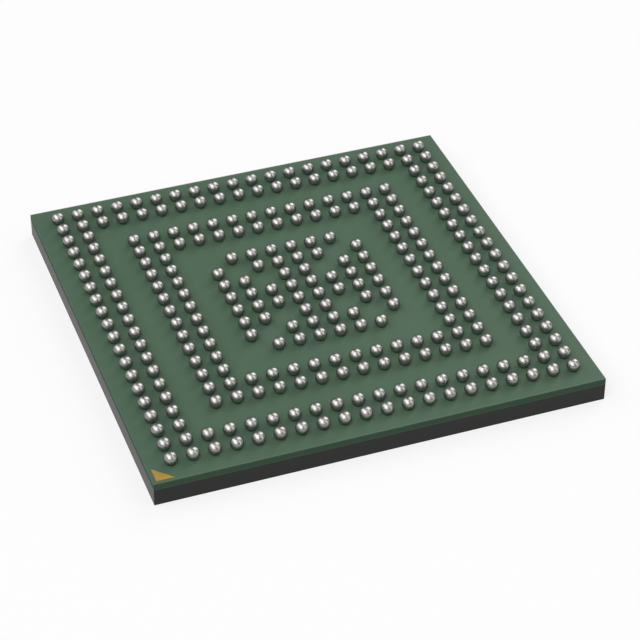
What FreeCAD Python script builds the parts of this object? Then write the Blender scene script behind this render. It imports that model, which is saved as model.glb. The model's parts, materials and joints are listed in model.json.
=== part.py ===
import FreeCAD, Part
import Sketcher
import math
import os

# A ball grid array chip of 292 solder balls. It lies on the flat marking face of its moulded
# cap, with the balls up, so the laminate carrier is above the cap and the balls above both.
# The origin is the centre of the marking face. X runs along ball columns 1 to 20, Y from
# ball row A to row Y, and Z from the marking face towards the balls. Millimetres.

SIZES = (
    # Solder ball grid
    ("sites_per_side", "20"),
    ("ball_pitch", "0.8"),
    ("edge_margin", "0.9"),
    ("ball_diameter", "0.5"),
    ("mask_opening", "0.3"),
    # Rings of sites counted inwards from the edge: two full outer rings, a gap, two full
    # inner rings, a gap, and the centre block
    ("inner_rings_start", "3"),
    ("centre_start", "6"),
    # Layers, from the marking face up
    ("cap_height", "0.68"),
    ("mask_thickness", "0.03"),
    ("copper_thickness", "0.018"),
    ("core_thickness", "0.2"),
    # Copper of the carrier
    ("ball_pad_diameter", "0.4"),
    ("via_diameter", "0.2"),
    ("via_wall", "0.03"),
    ("via_land_diameter", "0.3"),
    ("mark_leg", "0.7"),
    ("mark_inset", "0.15"),
    # Bond fingers, in a window of the mask
    ("finger_length", "0.3"),
    ("finger_width", "0.06"),
    ("finger_gap", "0.05"),
    ("finger_to_land", "0.3"),
    ("window_margin", "0.15"),
    # Die and what it stands on, each inset from what is round it
    ("paddle_to_finger", "0.6"),
    ("paddle_rim", "0.1"),
    ("attach_fillet", "0.05"),
    ("attach_thickness", "0.03"),
    ("die_thickness", "0.28"),
    # Bond pads along the die's edges
    ("die_pad_size", "0.06"),
    ("die_pad_thickness", "0.004"),
    ("die_pad_inset", "0.08"),
    ("die_corner_clear", "0.2"),
    # Bond wires
    ("wire_diameter", "0.025"),
    ("ball_bond_diameter", "0.05"),
    ("ball_bond_height", "0.012"),
    ("wire_rise", "0.05"),
    ("wire_bend", "0.06"),
)

doc = FreeCAD.newDocument("bga_chip")
dims = doc.addObject("Spreadsheet::Sheet", "dims")
for line, (alias, written) in enumerate(SIZES, start=1):
    dims.set(f"A{line}", alias)
    dims.set(f"B{line}", written)
    dims.setAlias(f"B{line}", alias)
doc.recompute()

# Places and sizes that follow from the driving ones
GRID_HALF = "((dims.sites_per_side - 1) / 2 * dims.ball_pitch)"
BODY_WIDTH = f"(2 * {GRID_HALF} + 2 * dims.edge_margin)"
CORE_BASE = "(dims.cap_height + dims.mask_thickness)"
CORE_TOP = f"({CORE_BASE} + dims.core_thickness)"
MASK_TOP = f"({CORE_TOP} + dims.mask_thickness)"
COPPER_BASE = f"({CORE_BASE} - dims.copper_thickness)"
INNER_LINE = f"({GRID_HALF} - (dims.inner_rings_start + 1) * dims.ball_pitch)"
FINGER_END = f"({INNER_LINE} - dims.via_land_diameter / 2 - dims.finger_to_land)"
FINGER_START = f"({FINGER_END} - dims.finger_length)"
WINDOW_WIDTH = f"(2 * {FINGER_END} + 2 * dims.window_margin)"
PADDLE_WIDTH = f"(2 * {FINGER_START} - 2 * dims.paddle_to_finger)"
ATTACH_WIDTH = f"({PADDLE_WIDTH} - 2 * dims.paddle_rim)"
DIE_WIDTH = f"({ATTACH_WIDTH} - 2 * dims.attach_fillet)"
ATTACH_BASE = f"({COPPER_BASE} - dims.attach_thickness)"
DIE_FACE = f"({ATTACH_BASE} - dims.die_thickness)"
DIE_PAD_FACE = f"({DIE_FACE} - dims.die_pad_thickness)"
DIE_PAD_LINE = f"({DIE_WIDTH} / 2 - dims.die_pad_inset)"
DIE_PAD_SPAN = f"({DIE_WIDTH} - 2 * dims.die_corner_clear)"
MARK_CORNER = f"({BODY_WIDTH} / 2 - dims.mark_inset)"
FOOT_DEPTH = "(dims.mask_thickness - dims.copper_thickness)"


def number(expression):
    """The value of a size or of a formula of sizes."""
    return float(dims.evalExpression(expression))


def origin_plane(body, role):
    return [f for f in body.Origin.OriginFeatures if f.Role == role][0]


def new_body(name, base):
    """A body whose own plane Z = 0 lies at the height base."""
    body = doc.addObject("PartDesign::Body", name)
    body.setExpression("Placement.Base.z", base)
    return body


def new_sketch(body, name, role="XY_Plane"):
    sketch = body.newObject("Sketcher::SketchObject", name)
    sketch.AttachmentSupport = (origin_plane(body, role), [""])
    sketch.MapMode = "FlatFace"
    return sketch


def closed_lines(sketch, points):
    """Straight edges through the points and back to the first."""
    vectors = [FreeCAD.Vector(x, y, 0) for x, y in points]
    for here, there in zip(vectors, vectors[1:] + vectors[:1]):
        sketch.addGeometry(Part.LineSegment(here, there), False)
    last = len(points) - 1
    for edge in range(len(points)):
        following = 0 if edge == last else edge + 1
        sketch.addConstraint(Sketcher.Constraint("Coincident", edge, 2, following, 1))


def bind(sketch, constraint, expression):
    """Adds a constraint and ties its value to a formula of sizes."""
    index = sketch.addConstraint(constraint)
    sketch.setExpression(f"Constraints[{index}]", expression)


def square_sketch(body, name, width):
    """A square about the body's own origin."""
    sketch = new_sketch(body, name)
    half = number(width) / 2
    closed_lines(sketch, [(-half, -half), (half, -half), (half, half), (-half, half)])
    for edge, kind in enumerate(("Horizontal", "Vertical", "Horizontal", "Vertical")):
        sketch.addConstraint(Sketcher.Constraint(kind, edge))
    sketch.addConstraint(Sketcher.Constraint("Symmetric", 0, 1, 1, 2, -1, 1))
    bind(sketch, Sketcher.Constraint("DistanceX", 0, 1, 0, 2, 2 * half), width)
    bind(sketch, Sketcher.Constraint("DistanceY", 1, 1, 1, 2, 2 * half), width)
    return sketch


def pad(body, sketch, name, length):
    feature = body.newObject("PartDesign::Pad", name)
    feature.Profile = sketch
    feature.setExpression("Length", length)
    return feature


def square_plate(name, width, base, thickness):
    """A square plate about the Z axis."""
    body = new_body(name, base)
    pad(body, square_sketch(body, f"{name}_outline", width), f"{name}_pad", thickness)
    return body


def cylinder(name, diameter, base, height):
    """A cylinder on the Z axis."""
    solid = doc.addObject("Part::Cylinder", name)
    solid.setExpression("Radius", f"{diameter} / 2")
    solid.setExpression("Height", height)
    solid.setExpression("Placement.Base.z", base)
    return solid


def cut(name, base, tool):
    result = doc.addObject("Part::Cut", name)
    result.Base = base
    result.Tool = tool
    return result


def fuse(name, base, tool):
    result = doc.addObject("Part::Fuse", name)
    result.Base = base
    result.Tool = tool
    return result


def group(name, shapes):
    """Separate solids kept together in one piece."""
    result = doc.addObject("Part::Feature", name)
    result.Shape = Part.makeCompound(shapes)
    return result


def unnamed(shape):
    """A copy of the shape without the names that a document keeps for its faces."""
    copy = shape.copy()
    copy.Tag = 0
    return copy


def at_sites(master, sites):
    """A copy of the master solid at each site of the ball grid."""
    solid = unnamed(master.Shape)
    return [solid.translated(FreeCAD.Vector(x, y, 0)) for x, y in sites]


def four_sides(shape):
    """The shape, made on the far side, turned to each side in turn."""
    turned = []
    for quarter in range(4):
        copy = shape.copy()
        copy.rotate(FreeCAD.Vector(0, 0, 0), FreeCAD.Vector(0, 0, 1), 90 * quarter)
        turned.append(copy)
    return turned


# Which sites of the grid carry a ball
SITES = round(number("dims.sites_per_side"))
INNER_RINGS_START = round(number("dims.inner_rings_start"))
CENTRE_START = round(number("dims.centre_start"))
ROW_LETTERS = "abcdefghjklmnprtuvwy"


def ring_of(column, row):
    return min(column, row, SITES - 1 - column, SITES - 1 - row)


def in_full_rings(column, row):
    """The double rings, each of whose balls serves one bond wire."""
    ring = ring_of(column, row)
    return ring < 2 or INNER_RINGS_START <= ring < INNER_RINGS_START + 2


def in_centre(column, row):
    """The centre block, bare along its diagonals apart from the four middle sites."""
    ring = ring_of(column, row)
    on_diagonal = column in (row, SITES - 1 - row)
    return ring >= CENTRE_START and (not on_diagonal or ring == (SITES - 1) // 2)


def site_place(column, row):
    pitch = number("dims.ball_pitch")
    half = number(GRID_HALF)
    return (column * pitch - half, row * pitch - half)


def row_name(row):
    """Rows are lettered without I, O, Q, S, X and Z, and go on with AA, AB."""
    first, second = divmod(row, len(ROW_LETTERS))
    prefix = ROW_LETTERS[first - 1] if first else ""
    return f"balls_row_{prefix}{ROW_LETTERS[second]}"


every_site = [(column, row) for row in range(SITES) for column in range(SITES)]
ring_sites = [site_place(*site) for site in every_site if in_full_rings(*site)]
centre_sites = [site_place(*site) for site in every_site if in_centre(*site)]
ball_sites = ring_sites + centre_sites
wires_per_side = len(ring_sites) // 4

# Copper paddle under the die. The vias of the centre block end on it, as the die's ground
# and its way to shed heat.
die_paddle = square_plate("die_paddle", PADDLE_WIDTH, COPPER_BASE, "dims.copper_thickness")

# Silver-filled resin that holds the die to the paddle, with a fillet all round
die_attach = square_plate("die_attach", ATTACH_WIDTH, ATTACH_BASE, "dims.attach_thickness")

# The silicon die, its working face towards the marking face
silicon_die = square_plate("silicon_die", DIE_WIDTH, DIE_FACE, "dims.die_thickness")

# Square aluminium bond pads along each edge of the die
doc.recompute()
pad_size = number("dims.die_pad_size")
die_pad_pitch = number(DIE_PAD_SPAN) / (wires_per_side - 1)
die_pad_line = number(DIE_PAD_LINE)
die_pad_places = [(k - (wires_per_side - 1) / 2) * die_pad_pitch for k in range(wires_per_side)]
die_pad_row = []
for x in die_pad_places:
    corner = FreeCAD.Vector(x - pad_size / 2, die_pad_line - pad_size / 2, number(DIE_PAD_FACE))
    die_pad_row.append(Part.makeBox(pad_size, pad_size, number("dims.die_pad_thickness"), corner))
die_bond_pads = group("die_bond_pads", four_sides(Part.makeCompound(die_pad_row)))

# Gold-plated copper bond fingers round the die, one for each ball of the double rings
finger_width = number("dims.finger_width")
finger_length = number("dims.finger_length")
finger_pitch = finger_width + number("dims.finger_gap")
finger_places = [(k - (wires_per_side - 1) / 2) * finger_pitch for k in range(wires_per_side)]
finger_row = []
for x in finger_places:
    corner = FreeCAD.Vector(x - finger_width / 2, number(FINGER_START), number(COPPER_BASE))
    copper = number("dims.copper_thickness")
    finger_row.append(Part.makeBox(finger_width, finger_length, copper, corner))
bond_fingers = group("bond_fingers", four_sides(Part.makeCompound(finger_row)))


def bond_wire(start, end):
    """A wire from the die pad at start to the finger at end: a ball bond, a short rise, one
    round bend over the top and a straight run down to the finger."""
    radius = number("dims.wire_diameter") / 2
    rise = number("dims.wire_rise")
    bend = number("dims.wire_bend")
    bond_height = number("dims.ball_bond_height")
    up = FreeCAD.Vector(0, 0, -1)
    run = math.hypot(end.x - start.x, end.y - start.y)
    out = FreeCAD.Vector(end.x - start.x, end.y - start.y, 0) / run
    fall = end.z - start.z - radius
    to_end = math.atan2(-fall - rise, run - bend)
    distance = math.hypot(-fall - rise, run - bend)
    leave = to_end + math.acos(bend / distance)
    middle = (math.pi + leave) / 2

    def place(along, height):
        return start + out * along + up * height

    def on_bend(angle):
        return place(bend + bend * math.cos(angle), rise + bend * math.sin(angle))

    path = Part.Wire([
        Part.LineSegment(place(0, bond_height / 2), place(0, rise)).toShape(),
        Part.Arc(place(0, rise), on_bend(middle), on_bend(leave)).toShape(),
        Part.LineSegment(on_bend(leave), place(run, -fall)).toShape(),
    ])
    section = Part.Wire([Part.makeCircle(radius, place(0, bond_height / 2), up)])
    round_wire = path.makePipeShell([section], True, False)
    bond_radius = number("dims.ball_bond_diameter") / 2
    ball_bond = Part.makeCylinder(bond_radius, bond_height, start, up)
    return ball_bond.fuse(round_wire).removeSplitter()


# Gold bond wires, in one group for each side of the die
finger_middle = number(FINGER_START) + finger_length / 2
far_wires = []
for pad_x, finger_x in zip(die_pad_places, finger_places):
    start = FreeCAD.Vector(pad_x, die_pad_line, number(DIE_PAD_FACE))
    end = FreeCAD.Vector(finger_x, finger_middle, number(COPPER_BASE))
    far_wires.append(bond_wire(start, end))
wire_sides = ("far", "left", "near", "right")
bond_wires = []
for side, turned in zip(wire_sides, four_sides(Part.makeCompound(far_wires))):
    bond_wires.append(group(f"bond_wires_{side}", turned.Solids))

# Moulded cap: a block of black epoxy over the whole carrier, which also fills the mask's
# window and closes round the die, its pads, the wires and the fingers. Its sides are sawn.
cap_block = square_plate("cap_block", BODY_WIDTH, "0", "dims.cap_height")
window_fill = square_plate("window_fill", WINDOW_WIDTH, "dims.cap_height", "dims.mask_thickness")
cap_contents = [die_paddle, die_attach, silicon_die, die_bond_pads, bond_fingers] + bond_wires
doc.recompute()
cap_filled = unnamed(cap_block.Shape).fuse(unnamed(window_fill.Shape))
mold_cap = doc.addObject("Part::Feature", "mold_cap")
mold_cap.Shape = cap_filled.cut([unnamed(piece.Shape) for piece in cap_contents])

# Plated vias, a copper tube each. Those of the double rings end in a land on the die side,
# and those of the centre block end on the paddle.
core_height = f"({CORE_TOP} - {CORE_BASE})"
hole_diameter = "(dims.via_diameter - 2 * dims.via_wall)"
via_tube = cylinder("via_tube", "dims.via_diameter", CORE_BASE, core_height)
via_land = cylinder("via_land", "dims.via_land_diameter", COPPER_BASE, "dims.copper_thickness")
landed_height = f"({CORE_TOP} - {COPPER_BASE})"
landed_hole = cylinder("landed_hole", hole_diameter, COPPER_BASE, landed_height)
plain_hole = cylinder("plain_hole", hole_diameter, CORE_BASE, core_height)
landed_via = cut("landed_via", fuse("via_with_land", via_tube, via_land), landed_hole)
plain_via = cut("plain_via", via_tube, plain_hole)
doc.recompute()
signal_vias = group("signal_vias", at_sites(landed_via, ring_sites))
thermal_vias = group("thermal_vias", at_sites(plain_via, centre_sites))

# Resin that fills the vias, so that the ball pads close over them
filled = at_sites(landed_hole, ring_sites) + at_sites(plain_hole, centre_sites)
via_plugs = group("via_plugs", filled)

# Glass-cloth laminate core, drilled for the vias
core_blank = square_plate("core_blank", BODY_WIDTH, CORE_BASE, "dims.core_thickness")
via_drills = group("via_drills", at_sites(via_tube, ball_sites))
laminate_core = cut("laminate_core", core_blank, via_drills)

# Green solder mask on the die side, with a square window for the die and its fingers
die_side_blank = square_plate("die_side_blank", BODY_WIDTH, "dims.cap_height", "dims.mask_thickness")
die_side_frame = cut("die_side_frame", die_side_blank, window_fill)
via_lands = group("via_lands", at_sites(via_land, ring_sites))
die_side_mask = cut("die_side_mask", die_side_frame, via_lands)

# Round copper pads under the balls
ball_pad = cylinder("ball_pad", "dims.ball_pad_diameter", CORE_TOP, "dims.copper_thickness")
doc.recompute()
ball_pads = group("ball_pads", at_sites(ball_pad, ball_sites))


def corner_triangle(name, thickness):
    """A right-angled triangle in the corner next to ball A1, standing on the core."""
    body = new_body(name, CORE_TOP)
    sketch = new_sketch(body, f"{name}_outline")
    leg = number("dims.mark_leg")
    corner = -number(MARK_CORNER)
    closed_lines(sketch, [(corner, corner), (corner + leg, corner), (corner, corner + leg)])
    sketch.addConstraint(Sketcher.Constraint("Horizontal", 0))
    sketch.addConstraint(Sketcher.Constraint("Vertical", 2))
    bind(sketch, Sketcher.Constraint("DistanceX", 0, 1, 0, 2, leg), "dims.mark_leg")
    bind(sketch, Sketcher.Constraint("DistanceY", 2, 2, 2, 1, leg), "dims.mark_leg")
    bind(sketch, Sketcher.Constraint("DistanceX", 0, 1, -1, 1, -corner), MARK_CORNER)
    bind(sketch, Sketcher.Constraint("DistanceY", 0, 1, -1, 1, -corner), MARK_CORNER)
    pad(body, sketch, f"{name}_pad", thickness)
    return body


# Gold-plated copper triangle that marks the corner of ball A1
pin_one_mark = corner_triangle("pin_one_mark", "dims.copper_thickness")

# Green solder mask on the ball side. It laps over the rim of each pad, and is open over the
# middle of each pad and over the triangle.
ball_side_blank = square_plate("ball_side_blank", BODY_WIDTH, CORE_TOP, "dims.mask_thickness")
opening = cylinder("opening", "dims.mask_opening", CORE_TOP, "dims.mask_thickness")
pad_relief = fuse("pad_relief", ball_pad, opening)
mark_relief = corner_triangle("mark_relief", "dims.mask_thickness")
doc.recompute()
mask_openings = group("mask_openings", at_sites(pad_relief, ball_sites) + [unnamed(mark_relief.Shape)])
ball_side_mask = cut("ball_side_mask", ball_side_blank, mask_openings)

# One solder ball: a ball that has wetted the round opening in the mask and fills it down to
# the pad, so its cut-off foot is as wide as the opening
solder_ball = new_body("solder_ball", MASK_TOP)
profile = new_sketch(solder_ball, "ball_profile", "XZ_Plane")
ball_radius = number("dims.ball_diameter / 2")
foot_radius = number("dims.mask_opening / 2")
foot_depth = number(FOOT_DEPTH)
centre_height = math.sqrt(ball_radius**2 - foot_radius**2)
foot = FreeCAD.Vector(0, -foot_depth, 0)
foot_edge = FreeCAD.Vector(foot_radius, -foot_depth, 0)
neck = FreeCAD.Vector(foot_radius, 0, 0)
top = FreeCAD.Vector(0, centre_height + ball_radius, 0)
whole_circle = Part.Circle(FreeCAD.Vector(0, centre_height, 0), FreeCAD.Vector(0, 0, 1), ball_radius)
neck_angle = math.atan2(-centre_height, foot_radius)
profile.addGeometry(Part.LineSegment(foot, foot_edge), False)
profile.addGeometry(Part.LineSegment(foot_edge, neck), False)
profile.addGeometry(Part.ArcOfCircle(whole_circle, neck_angle, math.pi / 2), False)
profile.addGeometry(Part.LineSegment(top, foot), False)
for edge, following in ((0, 1), (1, 2), (2, 3), (3, 0)):
    profile.addConstraint(Sketcher.Constraint("Coincident", edge, 2, following, 1))
profile.addConstraint(Sketcher.Constraint("Horizontal", 0))
profile.addConstraint(Sketcher.Constraint("Vertical", 1))
profile.addConstraint(Sketcher.Constraint("Vertical", 3))
profile.addConstraint(Sketcher.Constraint("PointOnObject", 0, 1, -2))
profile.addConstraint(Sketcher.Constraint("PointOnObject", 2, 3, -2))
profile.addConstraint(Sketcher.Constraint("PointOnObject", 1, 2, -1))
bind(profile, Sketcher.Constraint("DistanceX", 0, 1, 0, 2, foot_radius), "dims.mask_opening / 2")
bind(profile, Sketcher.Constraint("DistanceY", 1, 1, 1, 2, foot_depth), FOOT_DEPTH)
bind(profile, Sketcher.Constraint("Radius", 2, ball_radius), "dims.ball_diameter / 2")
turned_ball = solder_ball.newObject("PartDesign::Revolution", "turned_ball")
turned_ball.Profile = profile
turned_ball.ReferenceAxis = (profile, ["V_Axis"])
turned_ball.Angle = 360
doc.recompute()

# The balls, one piece for each lettered row
ball_rows = []
for row in range(SITES):
    sites = [(column, row) for column in range(SITES)]
    places = [site_place(*site) for site in sites if in_full_rings(*site) or in_centre(*site)]
    ball_rows.append(group(row_name(row), at_sites(solder_ball, places)))

pieces = [mold_cap, silicon_die, die_attach, die_paddle, die_bond_pads, bond_fingers]
pieces += bond_wires
pieces += [signal_vias, thermal_vias, via_plugs, die_side_mask, laminate_core, ball_side_mask]
pieces += [ball_pads, pin_one_mark]
pieces += ball_rows

doc.recompute()
for item in doc.Objects:
    if "Invalid" in item.State or "Error" in item.State:
        raise RuntimeError(f"{item.Label} failed: {item.State}")
for piece in pieces:
    if piece.Shape.isNull() or not piece.Shape.isValid() or not piece.Shape.Solids:
        raise RuntimeError(f"{piece.Label} has no sound solid")

os.makedirs("parts", exist_ok=True)
for piece in pieces:
    piece.Shape.exportStep(f"parts/{piece.Label}.step")
    print(piece.Label, len(piece.Shape.Solids), f"{piece.Shape.Volume:.5f}")
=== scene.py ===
import bpy
import json
import math
import random
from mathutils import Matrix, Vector

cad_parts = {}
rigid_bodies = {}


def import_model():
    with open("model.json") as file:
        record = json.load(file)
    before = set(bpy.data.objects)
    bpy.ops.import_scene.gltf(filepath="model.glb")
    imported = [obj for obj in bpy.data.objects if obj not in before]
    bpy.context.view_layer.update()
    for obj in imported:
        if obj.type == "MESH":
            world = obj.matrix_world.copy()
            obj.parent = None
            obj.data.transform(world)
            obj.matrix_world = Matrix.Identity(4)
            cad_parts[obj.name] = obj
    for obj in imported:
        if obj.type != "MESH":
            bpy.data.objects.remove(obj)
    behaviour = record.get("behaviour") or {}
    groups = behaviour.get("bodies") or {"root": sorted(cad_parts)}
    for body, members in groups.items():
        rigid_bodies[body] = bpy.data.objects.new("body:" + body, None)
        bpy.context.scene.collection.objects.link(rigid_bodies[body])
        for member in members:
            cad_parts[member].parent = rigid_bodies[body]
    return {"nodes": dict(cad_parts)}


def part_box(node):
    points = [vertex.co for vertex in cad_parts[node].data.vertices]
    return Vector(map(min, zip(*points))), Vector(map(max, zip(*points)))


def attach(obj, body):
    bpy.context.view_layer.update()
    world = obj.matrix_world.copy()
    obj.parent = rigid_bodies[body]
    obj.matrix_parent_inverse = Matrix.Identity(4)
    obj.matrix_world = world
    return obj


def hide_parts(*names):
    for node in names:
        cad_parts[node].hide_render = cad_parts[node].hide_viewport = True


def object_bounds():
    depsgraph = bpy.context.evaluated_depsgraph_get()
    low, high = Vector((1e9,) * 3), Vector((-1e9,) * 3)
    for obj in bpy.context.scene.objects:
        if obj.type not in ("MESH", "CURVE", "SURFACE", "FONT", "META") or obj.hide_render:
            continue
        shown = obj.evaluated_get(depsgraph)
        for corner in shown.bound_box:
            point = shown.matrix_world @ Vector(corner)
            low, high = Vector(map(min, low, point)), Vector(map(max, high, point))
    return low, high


for thing in list(bpy.data.objects):
    bpy.data.objects.remove(thing)
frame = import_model()
cad_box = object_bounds()
MM = 0.001

# Laminate core. The stiff sheet in the middle of the carrier: woven glass cloth in a green-tinted
# resin, pressed flat and drilled for the vias. Its four sides are sawn, so they show the cut
# bundles of glass and the fine lines that the saw leaves.
LAMINATE_RESIN = (0.036, 0.070, 0.044, 1)
LAMINATE_GLASS = (0.052, 0.094, 0.061, 1)
LAMINATE_ROUGHNESS = 0.62
GLASS_ROUGHNESS = 0.48
LAMINATE_SPECULAR = 0.025
BUNDLE_PITCH = 0.46 * MM
PLY_THICKNESS = 0.1 * MM
FIBRE_SIZE = 0.012 * MM
FIBRE_DETAIL = 2.0
FIBRE_LEAST = 0.3
GRAIN_DETAIL = 3.0
GRAIN_CONTRAST = 2.4
GRAIN_CUT = 0.7
SAW_LINE_LENGTH = 1.1 * MM
SAW_LINE_WIDTH = 0.016 * MM
SAW_LINE_SLOPE = 0.12
SAW_LINE_DEPTH = 0.0012 * MM
SAW_DETAIL = 2.0
UPRIGHT_LIMIT = 0.5


def add(tree, kind, **settings):
    """A node of the given kind, with its own settings."""
    made = tree.nodes.new(kind)
    for name, value in settings.items():
        setattr(made, name, value)
    return made


def compute(tree, operation, first, second=None, third=None):
    """A Math node on numbers or on the outputs of other nodes, which gives its result."""
    made = add(tree, "ShaderNodeMath", operation=operation)
    for socket, value in zip(made.inputs, (first, second, third)):
        if isinstance(value, bpy.types.NodeSocket):
            tree.links.new(value, socket)
        elif value is not None:
            socket.default_value = value
    return made.outputs[0]


def scaled(tree, value, low, high):
    """A mask from 0 to 1, spread from low to high."""
    spread = add(tree, "ShaderNodeMapRange")
    spread.inputs["To Min"].default_value = low
    spread.inputs["To Max"].default_value = high
    tree.links.new(value, spread.inputs["Value"])
    return spread.outputs["Result"]


def blend(tree, mask, first, second):
    """The first colour where the mask is 0 and the second where it is 1."""
    mixed = add(tree, "ShaderNodeMix", data_type="RGBA")
    tree.links.new(mask, mixed.inputs["Factor"])
    for socket, colour in ((mixed.inputs["A"], first), (mixed.inputs["B"], second)):
        if isinstance(colour, bpy.types.NodeSocket):
            tree.links.new(colour, socket)
        else:
            socket.default_value = colour
    return mixed.outputs["Result"]


def effect(name, inputs, outputs):
    """An empty group of shader nodes with numbers going in and the named masks coming out."""
    group = bpy.data.node_groups.new(name, "ShaderNodeTree")
    for label, start in inputs.items():
        socket = group.interface.new_socket(label, in_out="INPUT", socket_type="NodeSocketFloat")
        socket.default_value = start
    for label in outputs:
        group.interface.new_socket(label, in_out="OUTPUT", socket_type="NodeSocketFloat")
    return group, group.nodes.new("NodeGroupInput"), group.nodes.new("NodeGroupOutput")


def place(tree, group, **values):
    """Puts a group into a material with its own values."""
    made = add(tree, "ShaderNodeGroup", node_tree=group)
    for label, value in values.items():
        made.inputs[label].default_value = value
    return made.outputs


def grain_effect():
    """Cloudy grain of one size, as a mask from 0 to 1."""
    group, given, result = effect("grain", {"Size": MM, "Detail": GRAIN_DETAIL}, ["Mask"])
    where = add(group, "ShaderNodeTexCoord").outputs["Object"]
    noise = add(group, "ShaderNodeTexNoise")
    group.links.new(where, noise.inputs["Vector"])
    group.links.new(compute(group, "DIVIDE", 1.0, given.outputs["Size"]), noise.inputs["Scale"])
    group.links.new(given.outputs["Detail"], noise.inputs["Detail"])
    stretched = compute(group, "MULTIPLY_ADD", noise.outputs["Fac"], GRAIN_CONTRAST, -GRAIN_CUT)
    clear = compute(group, "MINIMUM", compute(group, "MAXIMUM", stretched, 0.0), 1.0)
    group.links.new(clear, result.inputs["Mask"])
    return group


def sawn_effect():
    """On upright faces, long fine lines that rise gently along the side, as a dicing saw leaves
    them. Upright is 1 there and 0 on the flat faces."""
    group, given, result = effect("sawn", {"Length": MM, "Width": MM}, ["Lines", "Upright"])
    where = add(group, "ShaderNodeSeparateXYZ")
    group.links.new(add(group, "ShaderNodeTexCoord").outputs["Object"], where.inputs[0])
    facing = add(group, "ShaderNodeSeparateXYZ")
    group.links.new(add(group, "ShaderNodeTexCoord").outputs["Normal"], facing.inputs[0])
    along = compute(group, "ADD", where.outputs["X"], where.outputs["Y"])
    up = compute(group, "MULTIPLY_ADD", along, SAW_LINE_SLOPE, where.outputs["Z"])
    point = add(group, "ShaderNodeCombineXYZ")
    group.links.new(compute(group, "DIVIDE", along, given.outputs["Length"]), point.inputs["X"])
    group.links.new(compute(group, "DIVIDE", up, given.outputs["Width"]), point.inputs["Y"])
    noise = add(group, "ShaderNodeTexNoise")
    noise.inputs["Scale"].default_value = 1.0
    noise.inputs["Detail"].default_value = SAW_DETAIL
    group.links.new(point.outputs[0], noise.inputs["Vector"])
    steepness = compute(group, "ABSOLUTE", facing.outputs["Z"])
    upright = compute(group, "LESS_THAN", steepness, UPRIGHT_LIMIT)
    group.links.new(compute(group, "MULTIPLY", noise.outputs["Fac"], upright), result.inputs["Lines"])
    group.links.new(upright, result.inputs["Upright"])
    return group


def material(name, roughness, metallic=0.0, specular=0.5):
    """A new material with one Principled shader. A specular level of 0.5 is common plastic."""
    made = bpy.data.materials.new(name)
    made.use_nodes = True
    shader = made.node_tree.nodes["Principled BSDF"]
    shader.inputs["Roughness"].default_value = roughness
    shader.inputs["Metallic"].default_value = metallic
    shader.inputs["Specular IOR Level"].default_value = specular
    return made, made.node_tree, shader


def raised(tree, shader, height, depth):
    """Lets a height from 0 to 1 stand out by depth, in metres."""
    bump = add(tree, "ShaderNodeBump")
    bump.inputs["Distance"].default_value = depth
    tree.links.new(height, bump.inputs["Height"])
    tree.links.new(bump.outputs["Normal"], shader.inputs["Normal"])


def dress(finish, *names):
    """Gives the finish to pieces of the frame."""
    for name in names:
        for slot in frame["nodes"][name].material_slots:
            slot.material = finish


grain = grain_effect()
sawn = sawn_effect()


def laminate_material():
    made, tree, shader = material("glass_laminate", LAMINATE_ROUGHNESS, specular=LAMINATE_SPECULAR)
    where = add(tree, "ShaderNodeSeparateXYZ")
    tree.links.new(add(tree, "ShaderNodeTexCoord").outputs["Object"], where.inputs[0])
    along = compute(tree, "ADD", where.outputs["X"], where.outputs["Y"])
    across = compute(tree, "SINE", compute(tree, "MULTIPLY", along, 2 * math.pi / BUNDLE_PITCH))
    ply_turn = compute(tree, "MULTIPLY", where.outputs["Z"], 2 * math.pi / PLY_THICKNESS)
    layers = compute(tree, "SINE", ply_turn)
    crossings = compute(tree, "MULTIPLY", across, layers)
    bundles = compute(tree, "MULTIPLY_ADD", crossings, 0.5, 0.5)  # waves from -1 to 1, now 0 to 1
    fibres = place(tree, grain, Size=FIBRE_SIZE, Detail=FIBRE_DETAIL)["Mask"]
    glass = compute(tree, "MULTIPLY", bundles, scaled(tree, fibres, FIBRE_LEAST, 1.0))
    lines = place(tree, sawn, Length=SAW_LINE_LENGTH, Width=SAW_LINE_WIDTH)["Lines"]
    tree.links.new(blend(tree, glass, LAMINATE_RESIN, LAMINATE_GLASS), shader.inputs["Base Color"])
    rough = scaled(tree, glass, LAMINATE_ROUGHNESS, GLASS_ROUGHNESS)
    tree.links.new(rough, shader.inputs["Roughness"])
    raised(tree, shader, compute(tree, "ADD", lines, glass), SAW_LINE_DEPTH)
    return made


dress(laminate_material(), "laminate_core")

# Copper of the carrier: the plated vias, the die paddle and the round pads under the balls.
# It is plated and etched, then closed in by mask, resin and solder, with a fine matt grain.
COPPER_BRIGHT = (0.83, 0.42, 0.27, 1)
COPPER_DULL = (0.56, 0.25, 0.15, 1)
COPPER_ROUGHNESS = 0.4
COPPER_SPREAD = 0.08
COPPER_GRAIN = 0.02 * MM
COPPER_RELIEF = 0.0008 * MM


def copper_material():
    made, tree, shader = material("plated_copper", COPPER_ROUGHNESS, metallic=1.0)
    mask = place(tree, grain, Size=COPPER_GRAIN)["Mask"]
    tree.links.new(blend(tree, mask, COPPER_DULL, COPPER_BRIGHT), shader.inputs["Base Color"])
    rough = scaled(tree, mask, COPPER_ROUGHNESS + COPPER_SPREAD, COPPER_ROUGHNESS - COPPER_SPREAD)
    tree.links.new(rough, shader.inputs["Roughness"])
    raised(tree, shader, mask, COPPER_RELIEF)
    return made


dress(copper_material(), "signal_vias", "thermal_vias", "die_paddle", "ball_pads")

# Via plugs. Cream resin pressed into the plated vias, cured and ground flush, so that pads and
# lands can be plated over them.
PLUG_PALE = (0.58, 0.52, 0.38, 1)
PLUG_DARK = (0.40, 0.34, 0.22, 1)
PLUG_ROUGHNESS = 0.55
PLUG_GRAIN = 0.03 * MM
PLUG_RELIEF = 0.001 * MM


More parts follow.
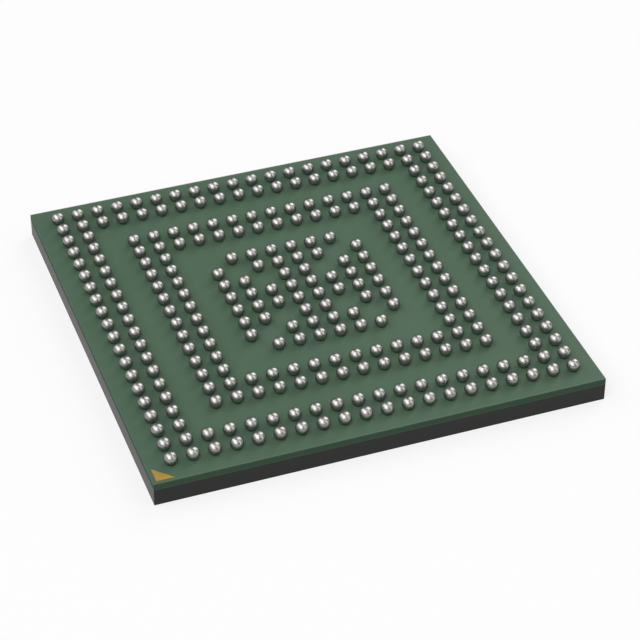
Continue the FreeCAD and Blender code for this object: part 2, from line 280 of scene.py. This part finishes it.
def plug_material():
    made, tree, shader = material("plug_resin", PLUG_ROUGHNESS)
    mask = place(tree, grain, Size=PLUG_GRAIN)["Mask"]
    tree.links.new(blend(tree, mask, PLUG_DARK, PLUG_PALE), shader.inputs["Base Color"])
    raised(tree, shader, mask, PLUG_RELIEF)
    return made


dress(plug_material(), "via_plugs")

# Solder mask. A thin coat of green lacquer over each face of the carrier, printed, cured and
# opened over the pads. It is satin, a little cloudy, and follows the weave of the cloth under it.
MASK_GREEN = (0.081, 0.141, 0.091, 1)
MASK_DEEP = (0.067, 0.125, 0.0795, 1)
MASK_SAWN = (0.037, 0.072, 0.044, 1)
# Painted highlight: a paler strip along the sawn edges of the mask, narrower at both ends of X.
MASK_EDGE_HIGHLIGHT = (0.088, 0.148, 0.097, 1)
EDGE_HIGHLIGHT_WIDTH = 0.13 * MM
EDGE_HIGHLIGHT_X_STEP = 0.05 * MM
MASK_GLOSSIEST = 0.45
MASK_DULLEST = 0.57
MASK_SPECULAR = 0.26
MASK_CLOUD = 2.6 * MM
CLOUD_DETAIL = 4.0
CLOUD_SHARE = 0.6
MASK_SPECK = 0.05 * MM
SPECK_DETAIL = 2.0
SPECK_SHARE = 0.4
SPECK_HEIGHT = 0.25
WEAVE_PITCH = 0.42 * MM
WEAVE_DEPTH = 0.0016 * MM


def weave_effect():
    """The crowns of a plain weave, warp and weft in turn, as a height from 0 to 1."""
    group, given, result = effect("weave", {"Pitch": MM}, ["Height"])
    where = add(group, "ShaderNodeSeparateXYZ")
    group.links.new(add(group, "ShaderNodeTexCoord").outputs["Object"], where.inputs[0])
    turn = compute(group, "DIVIDE", math.pi, given.outputs["Pitch"])
    warp = compute(group, "SINE", compute(group, "MULTIPLY", where.outputs["X"], turn))
    weft = compute(group, "SINE", compute(group, "MULTIPLY", where.outputs["Y"], turn))
    crossing = compute(group, "ABSOLUTE", compute(group, "MULTIPLY", warp, weft))
    group.links.new(crossing, result.inputs["Height"])
    return group


weave = weave_effect()


def painted_edge_highlight(tree, ragged):
    """A painted highlight: the outermost strip of the lacquer, paler where its sawn edge catches the
    light. The strip is narrower at both ends of the X axis, whose edges catch less of it."""
    where = add(tree, "ShaderNodeSeparateXYZ")
    tree.links.new(add(tree, "ShaderNodeTexCoord").outputs["Object"], where.inputs[0])
    across = compute(tree, "ABSOLUTE", where.outputs["X"])
    along = compute(tree, "ABSOLUTE", where.outputs["Y"])
    outward = compute(tree, "MAXIMUM", compute(tree, "SUBTRACT", across, EDGE_HIGHLIGHT_X_STEP), along)
    reach = compute(tree, "MULTIPLY_ADD", ragged, EDGE_HIGHLIGHT_WIDTH / 2, outward)
    strip = add(tree, "ShaderNodeMapRange")
    strip.inputs["From Min"].default_value = cad_box[1].x - EDGE_HIGHLIGHT_WIDTH / 2
    strip.inputs["From Max"].default_value = cad_box[1].x
    tree.links.new(reach, strip.inputs["Value"])
    return strip.outputs["Result"]


def mask_material():
    made, tree, shader = material("green_solder_mask", MASK_GLOSSIEST, specular=MASK_SPECULAR)
    cloud = place(tree, grain, Size=MASK_CLOUD, Detail=CLOUD_DETAIL)["Mask"]
    speck = place(tree, grain, Size=MASK_SPECK, Detail=SPECK_DETAIL)["Mask"]
    specks = compute(tree, "MULTIPLY", speck, SPECK_SHARE)
    mottle = compute(tree, "ADD", compute(tree, "MULTIPLY", cloud, CLOUD_SHARE), specks)
    crowns = place(tree, weave, Pitch=WEAVE_PITCH)["Height"]
    saw = place(tree, sawn, Length=SAW_LINE_LENGTH, Width=SAW_LINE_WIDTH)
    # Painted highlight: the paler strip along the sawn edges is laid over the mottled green.
    face = blend(tree, painted_edge_highlight(tree, speck), blend(tree, mottle, MASK_DEEP, MASK_GREEN), MASK_EDGE_HIGHLIGHT)
    tree.links.new(blend(tree, saw["Upright"], face, MASK_SAWN), shader.inputs["Base Color"])
    rough = scaled(tree, speck, MASK_GLOSSIEST, MASK_DULLEST)
    tree.links.new(rough, shader.inputs["Roughness"])
    ridges = compute(tree, "ADD", crowns, saw["Lines"])
    relief = compute(tree, "MULTIPLY_ADD", speck, SPECK_HEIGHT, ridges)
    raised(tree, shader, relief, WEAVE_DEPTH)
    return made


dress(mask_material(), "ball_side_mask", "die_side_mask")

# Gold finish. The triangle beside the corner ball and the bond fingers are copper plated with
# nickel and a thin coat of soft gold. The bond wires are drawn gold, welded at both ends.
GOLD_BRIGHT = (0.80, 0.54, 0.145, 1)
GOLD_DULL = (0.61, 0.395, 0.108, 1)
PLATED_ROUGHNESS = 0.5
DRAWN_ROUGHNESS = 0.25
GOLD_DULLER = 0.08
GOLD_GLOSSIER = 0.06
GOLD_GRAIN = 0.05 * MM
GOLD_RELIEF = 0.0012 * MM


def gold_material(name, roughness):
    made, tree, shader = material(name, roughness, metallic=1.0)
    mask = place(tree, grain, Size=GOLD_GRAIN)["Mask"]
    tree.links.new(blend(tree, mask, GOLD_DULL, GOLD_BRIGHT), shader.inputs["Base Color"])
    rough = scaled(tree, mask, roughness + GOLD_DULLER, roughness - GOLD_GLOSSIER)
    tree.links.new(rough, shader.inputs["Roughness"])
    raised(tree, shader, mask, GOLD_RELIEF)
    return made


dress(gold_material("plated_gold", PLATED_ROUGHNESS), "pin_one_mark", "bond_fingers")
drawn_gold = gold_material("drawn_gold", DRAWN_ROUGHNESS)
for side in ("far", "left", "near", "right"):
    dress(drawn_gold, f"bond_wires_{side}")

# Die attach. Grey resin full of silver flakes, dispensed on the paddle as a paste. The die is
# pressed into it, and it cures to a thin even layer.
ATTACH_FLAKE = (0.70, 0.69, 0.66, 1)
ATTACH_RESIN = (0.36, 0.35, 0.33, 1)
ATTACH_METAL = 0.7
RESIN_ROUGHNESS = 0.6
FLAKE_ROUGHNESS = 0.35
ATTACH_GRAIN = 0.015 * MM
ATTACH_RELIEF = 0.002 * MM


def attach_material():
    made, tree, shader = material("silver_resin", RESIN_ROUGHNESS, metallic=ATTACH_METAL)
    mask = place(tree, grain, Size=ATTACH_GRAIN)["Mask"]
    tree.links.new(blend(tree, mask, ATTACH_RESIN, ATTACH_FLAKE), shader.inputs["Base Color"])
    rough = scaled(tree, mask, RESIN_ROUGHNESS, FLAKE_ROUGHNESS)
    tree.links.new(rough, shader.inputs["Roughness"])
    raised(tree, shader, mask, ATTACH_RELIEF)
    return made


dress(attach_material(), "die_attach")

# Silicon die with its aluminium bond pads. The die is sawn from a polished wafer, dark and
# glassy. The pads are thin films along its edges.
SILICON_DARK = (0.05, 0.055, 0.07, 1)
SILICON_PALE = (0.10, 0.10, 0.13, 1)
ALUMINIUM_PALE = (0.88, 0.88, 0.87, 1)
ALUMINIUM_DULL = (0.66, 0.66, 0.66, 1)
SILICON_ROUGHNESS = 0.18
SILICON_METAL = 0.4
FILM_ROUGHNESS = 0.3
FILM_METAL = 1.0
POLISH_SPREAD = 0.05
DIE_GRAIN = 0.2 * MM
FILM_GRAIN = 0.008 * MM


def polished_material(name, dull, bright, grain_size, roughness, metallic):
    made, tree, shader = material(name, roughness, metallic=metallic)
    mask = place(tree, grain, Size=grain_size)["Mask"]
    tree.links.new(blend(tree, mask, dull, bright), shader.inputs["Base Color"])
    rough = scaled(tree, mask, roughness + POLISH_SPREAD, roughness - POLISH_SPREAD)
    tree.links.new(rough, shader.inputs["Roughness"])
    return made


silicon = polished_material(
    "silicon", SILICON_DARK, SILICON_PALE, DIE_GRAIN, SILICON_ROUGHNESS, SILICON_METAL)
aluminium = polished_material(
    "aluminium", ALUMINIUM_DULL, ALUMINIUM_PALE, FILM_GRAIN, FILM_ROUGHNESS, FILM_METAL)
dress(silicon, "silicon_die")
dress(aluminium, "die_bond_pads")

# Moulded cap. Black epoxy full of fine glass beads, pressed over the whole carrier in one block.
# The marking face keeps the matt skin of the mould. The sides are sawn and show cut beads.
MOULD_BLACK = (0.0048, 0.0045, 0.0040, 1)
MOULD_BEAD = (0.018, 0.017, 0.015, 1)
MOULD_GLOSSIEST = 0.34
MOULD_DULLEST = 0.48
MOULD_SPECULAR = 0.32
BEAD_SIZE = 0.02 * MM
BEAD_REACH = 0.34
SKIN_COVER = 0.25
SKIN_GRAIN = 0.05 * MM
MOULD_LINE_DEPTH = 0.0022 * MM


def mould_material():
    made, tree, shader = material("black_mould_compound", MOULD_GLOSSIEST, specular=MOULD_SPECULAR)
    where = add(tree, "ShaderNodeTexCoord").outputs["Object"]
    beads = add(tree, "ShaderNodeTexVoronoi", feature="F1")
    beads.inputs["Scale"].default_value = 1 / BEAD_SIZE
    tree.links.new(where, beads.inputs["Vector"])
    inside = compute(tree, "LESS_THAN", beads.outputs["Distance"], BEAD_REACH)
    strength = add(tree, "ShaderNodeSeparateColor")
    tree.links.new(beads.outputs["Color"], strength.inputs[0])
    cut_bead = compute(tree, "MULTIPLY", inside, strength.outputs[0])
    saw = place(tree, sawn, Length=SAW_LINE_LENGTH, Width=SAW_LINE_WIDTH)
    skin = place(tree, grain, Size=SKIN_GRAIN)["Mask"]
    shown = compute(tree, "MULTIPLY", cut_bead, scaled(tree, saw["Upright"], SKIN_COVER, 1.0))
    tree.links.new(blend(tree, shown, MOULD_BLACK, MOULD_BEAD), shader.inputs["Base Color"])
    rough = scaled(tree, skin, MOULD_GLOSSIEST, MOULD_DULLEST)
    tree.links.new(rough, shader.inputs["Roughness"])
    raised(tree, shader, compute(tree, "ADD", saw["Lines"], skin), MOULD_LINE_DEPTH)
    return made


dress(mould_material(), "mold_cap")

# Solder balls. Tin-silver-copper solder, dropped on the pads as spheres and melted on. Each has
# wetted the round opening in the mask, so it narrows to a foot there, and has set with a faintly
# uneven skin, with painted shade darkening it towards the board. No two are quite the same size.
SITES = 20
RINGS_TOGETHER = 2
INNER_RINGS_START = 3
CENTRE_START = 6
ROW_LETTERS = "abcdefghjklmnprtuvwy"
BALL_SEGMENTS = 32
BALL_RINGS = 16
SKIN_SEED = 292
LEAST_SIZE = 0.985
LUMP_HEIGHT = 0.004
LUMPS = 3
BROADEST_LUMP = 2.0
FINEST_LUMP = 4.0
FOOT_EASING = 4
SOLDER_BRIGHT = (0.59, 0.585, 0.563, 1)
SOLDER_DULL = (0.50, 0.495, 0.475, 1)
# Painted shade for the downward-facing lower half of each ball.
SOLDER_PAINTED_SHADE = (0.42, 0.42, 0.40, 1)
SOLDER_EDGE = (0.05, 0.05, 0.05, 1)
# Limits of that painted shade, in the upward share of the surface's direction.
PAINTED_SHADE_FROM = 0.20
PAINTED_SHADE_TO = 0.60
SOLDER_DULLEST = 0.43
SOLDER_GLOSSIEST = 0.32
SOLDER_GRAIN = 0.035 * MM
SOLDER_CLOUD = 0.14 * MM
SOLDER_CLOUD_DETAIL = 2.0
GRAIN_SHARE = 0.35
CLOUDS_SHARE = 0.65
SOLDER_RELIEF = 0.0004 * MM


def solder_material():
    """Painted shade: the colour is bright on the crown and darker below, by which way the surface
    faces: wholly the painted shade where the upward share of its direction is under the lower
    limit, and wholly bright over the upper one."""
    made, tree, shader = material("solder", SOLDER_DULLEST, metallic=1.0)
    shader.inputs["Specular Tint"].default_value = SOLDER_EDGE
    fine = place(tree, grain, Size=SOLDER_GRAIN)["Mask"]
    broad = place(tree, grain, Size=SOLDER_CLOUD, Detail=SOLDER_CLOUD_DETAIL)["Mask"]
    clouds = compute(tree, "MULTIPLY", broad, CLOUDS_SHARE)
    mottle = compute(tree, "MULTIPLY_ADD", fine, GRAIN_SHARE, clouds)
    facing = add(tree, "ShaderNodeSeparateXYZ")
    tree.links.new(add(tree, "ShaderNodeTexCoord").outputs["Normal"], facing.inputs[0])
    # Painted shade: this mask swaps the metal colour for a darker one on the lower half of each ball.
    crown = add(tree, "ShaderNodeMapRange", interpolation_type="SMOOTHSTEP")
    crown.inputs["From Min"].default_value = PAINTED_SHADE_FROM
    crown.inputs["From Max"].default_value = PAINTED_SHADE_TO
    tree.links.new(facing.outputs["Z"], crown.inputs["Value"])
    metal = blend(tree, mottle, SOLDER_DULL, SOLDER_BRIGHT)
    colour = blend(tree, crown.outputs["Result"], SOLDER_PAINTED_SHADE, metal)
    tree.links.new(colour, shader.inputs["Base Color"])
    rough = scaled(tree, mottle, SOLDER_DULLEST, SOLDER_GLOSSIEST)
    tree.links.new(rough, shader.inputs["Roughness"])
    raised(tree, shader, mottle, SOLDER_RELIEF)
    return made


def has_ball(column, row):
    """Two full outer rings, two full inner rings, and a centre block with bare diagonals."""
    ring = min(column, row, SITES - 1 - column, SITES - 1 - row)
    in_outer = ring < RINGS_TOGETHER
    in_inner = INNER_RINGS_START <= ring < INNER_RINGS_START + RINGS_TOGETHER
    on_diagonal = column in (row, SITES - 1 - row)
    in_centre = ring >= CENTRE_START and (not on_diagonal or ring == (SITES - 1) // 2)
    return in_outer or in_inner or in_centre


def ball_mesh(name, centres, radius, pad_face, mask_face, crown):
    """Balls at the given places on the board, each with its foot on its pad."""
    height = crown - radius - mask_face
    foot_radius = math.sqrt(radius**2 - height**2)
    neck_angle = math.acos(-height / radius)
    points = []
    faces = []
    for x, y in centres:
        first = len(points)
        size = random.uniform(LEAST_SIZE, 1.0) - LUMP_HEIGHT
        waves = []
        for _ in range(LUMPS):
            way = Vector([random.gauss(0, 1) for _ in range(3)]).normalized()
            closeness = random.uniform(BROADEST_LUMP, FINEST_LUMP)
            waves.append((way * closeness, random.uniform(0, 2 * math.pi)))
        points.append((x, y, crown - radius * (1 - size)))
        for ring in range(1, BALL_RINGS + 1):
            down = neck_angle * ring / BALL_RINGS
            for segment in range(BALL_SEGMENTS):
                turn = 2 * math.pi * segment / BALL_SEGMENTS
                outward = math.sin(down)
                way = Vector((outward * math.cos(turn), outward * math.sin(turn), math.cos(down)))
                lumps = sum(math.sin(wave.dot(way) + phase) for wave, phase in waves) / LUMPS
                free = 1 - (ring / BALL_RINGS) ** FOOT_EASING
                reach = radius * (1 + free * (size - 1 + LUMP_HEIGHT * lumps))
                at = Vector((x, y, crown - radius)) + way * reach
                points.append(tuple(at))
        for segment in range(BALL_SEGMENTS):
            turn = 2 * math.pi * segment / BALL_SEGMENTS
            foot_x, foot_y = foot_radius * math.cos(turn), foot_radius * math.sin(turn)
            points.append((x + foot_x, y + foot_y, pad_face))
        for segment in range(BALL_SEGMENTS):
            after = (segment + 1) % BALL_SEGMENTS
            faces.append((first, first + 1 + segment, first + 1 + after))
        for ring in range(BALL_RINGS):
            upper = first + 1 + ring * BALL_SEGMENTS
            lower = upper + BALL_SEGMENTS
            for segment in range(BALL_SEGMENTS):
                after = (segment + 1) % BALL_SEGMENTS
                faces.append((upper + segment, lower + segment, lower + after, upper + after))
        foot = first + 1 + BALL_RINGS * BALL_SEGMENTS
        faces.append(tuple(foot + segment for segment in reversed(range(BALL_SEGMENTS))))
    mesh = bpy.data.meshes.new(name)
    mesh.from_pydata(points, [], faces)
    mesh.shade_smooth()
    return mesh


random.seed(SKIN_SEED)
solder = solder_material()
mask_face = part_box("ball_side_mask")[1].z
row_low, row_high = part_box("balls_row_a")
ball_radius = (row_high.y - row_low.y) / 2
first_column = row_low.x + ball_radius
last_column = row_high.x - ball_radius
pitch = (last_column - first_column) / (SITES - 1)
for row, letter in enumerate(ROW_LETTERS):
    low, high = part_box(f"balls_row_{letter}")
    row_line = (low.y + high.y) / 2
    filled = [column for column in range(SITES) if has_ball(column, row)]
    centres = [(first_column + column * pitch, row_line) for column in filled]
    shape = ball_mesh(f"solder_balls_{letter}", centres, ball_radius, low.z, mask_face, high.z)
    shape.materials.append(solder)
    balls = bpy.data.objects.new(f"solder_balls_{letter}", shape)
    bpy.context.scene.collection.objects.link(balls)
    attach(balls, "root")
    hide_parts(f"balls_row_{letter}")

# Floor. A wide sheet of matt white card that the chip lies on, marking face down. It is cut
# round, and its face is a hair below the part's.
FLOOR_RADIUS = 1500 * MM
FLOOR_SIDES = 96
FLOOR_WHITE = (0.93, 0.93, 0.93, 1)
FLOOR_SHADE = (0.90, 0.90, 0.90, 1)
CARD_ROUGHNESS = 0.9
CARD_GRAIN = 0.3 * MM
CARD_GLOW = 0.75
FLOOR_DROP = 0.002 * MM


def card_material():
    """Matt card that the camera and reflections see as mostly plain white, with the part's
    shadow faint on it. Matt surfaces get only the light that the card sends back."""
    made, tree, shader = material("white_card", CARD_ROUGHNESS, specular=0.0)
    mask = place(tree, grain, Size=CARD_GRAIN)["Mask"]
    tree.links.new(blend(tree, mask, FLOOR_SHADE, FLOOR_WHITE), shader.inputs["Base Color"])
    rays = add(tree, "ShaderNodeLightPath")
    seen = compute(tree, "MAXIMUM", rays.outputs["Is Camera Ray"], rays.outputs["Is Glossy Ray"])
    seen = compute(tree, "MAXIMUM", seen, rays.outputs["Is Transmission Ray"])
    white = add(tree, "ShaderNodeEmission")
    mixed = add(tree, "ShaderNodeMixShader")
    tree.links.new(compute(tree, "MULTIPLY", seen, CARD_GLOW), mixed.inputs[0])
    tree.links.new(shader.outputs[0], mixed.inputs[1])
    tree.links.new(white.outputs[0], mixed.inputs[2])
    tree.links.new(mixed.outputs[0], tree.nodes["Material Output"].inputs["Surface"])
    return made


rim = []
for side in range(FLOOR_SIDES):
    turn = 2 * math.pi * side / FLOOR_SIDES
    rim.append((FLOOR_RADIUS * math.cos(turn), FLOOR_RADIUS * math.sin(turn), cad_box[0].z - FLOOR_DROP))
floor_mesh = bpy.data.meshes.new("floor")
floor_mesh.from_pydata(rim, [], [tuple(range(FLOOR_SIDES))])
floor_mesh.materials.append(card_material())
floor = bpy.data.objects.new("floor", floor_mesh)
bpy.context.scene.collection.objects.link(floor)

# Studio. A wide soft box with a strip lamp in front of it stands on the left, and a smaller box
# at the back right. They draw the two highlights on each ball. Another strip lamp fills the
# front right, and the room is dim grey.
ROOM_LEVEL = 0.12
STUDIO_PANELS = (
    # name, azimuth, elevation, width and height in degrees, radiance
    ("left_soft_box", 190, 52.5, 118, 39, 1.73),
    ("left_strip", 218, 54, 10, 60, 3.5),
    ("right_soft_box", 37, 36, 33, 51, 2.45),
    ("right_strip", 324, 39, 17, 60, 1.95),
)
PANEL_DISTANCE = 400 * MM

room = bpy.data.worlds.new("room")
room.use_nodes = True
room.node_tree.nodes["Background"].inputs["Color"].default_value = (1, 1, 1, 1)
room.node_tree.nodes["Background"].inputs["Strength"].default_value = ROOM_LEVEL
bpy.context.scene.world = room


def studio_panel(name, azimuth, elevation, width, height, radiance):
    """A flat lamp that faces the chip and covers the given angles, seen from it."""
    turn, tilt = math.radians(azimuth), math.radians(elevation)
    away = Vector((math.cos(tilt) * math.cos(turn), math.cos(tilt) * math.sin(turn), math.sin(tilt)))
    lamp = bpy.data.lights.new(name, "AREA")
    lamp.shape = "RECTANGLE"
    lamp.size = 2 * PANEL_DISTANCE * math.tan(math.radians(width) / 2)
    lamp.size_y = 2 * PANEL_DISTANCE * math.tan(math.radians(height) / 2)
    lamp.energy = radiance * math.pi * lamp.size * lamp.size_y
    holder = bpy.data.objects.new(name, lamp)
    holder.location = away * PANEL_DISTANCE
    holder.rotation_euler = (-away).to_track_quat("-Z", "Y").to_euler()
    holder.visible_camera = False
    bpy.context.scene.collection.objects.link(holder)


for panel in STUDIO_PANELS:
    studio_panel(*panel)

# Camera. A long lens some 90 mm away looks down on the ball side from the front left, so the
# corner with the gold triangle comes lowest in the picture.
CAMERA_PLACE = Vector((-23.554, -67.238, 54.647)) * MM
CAMERA_LOOK = Vector((0.26762, 0.74501, -0.61101))
LENS = 132.88
SENSOR_WIDTH = 36.0

lens = bpy.data.cameras.new("camera")
lens.sensor_width = SENSOR_WIDTH
lens.lens = LENS
lens.clip_start = MM
camera = bpy.data.objects.new("camera", lens)
camera.location = CAMERA_PLACE
camera.rotation_euler = CAMERA_LOOK.to_track_quat("-Z", "Y").to_euler()
bpy.context.scene.collection.objects.link(camera)
bpy.context.scene.camera = camera
bpy.context.scene.view_settings.view_transform = "Standard"
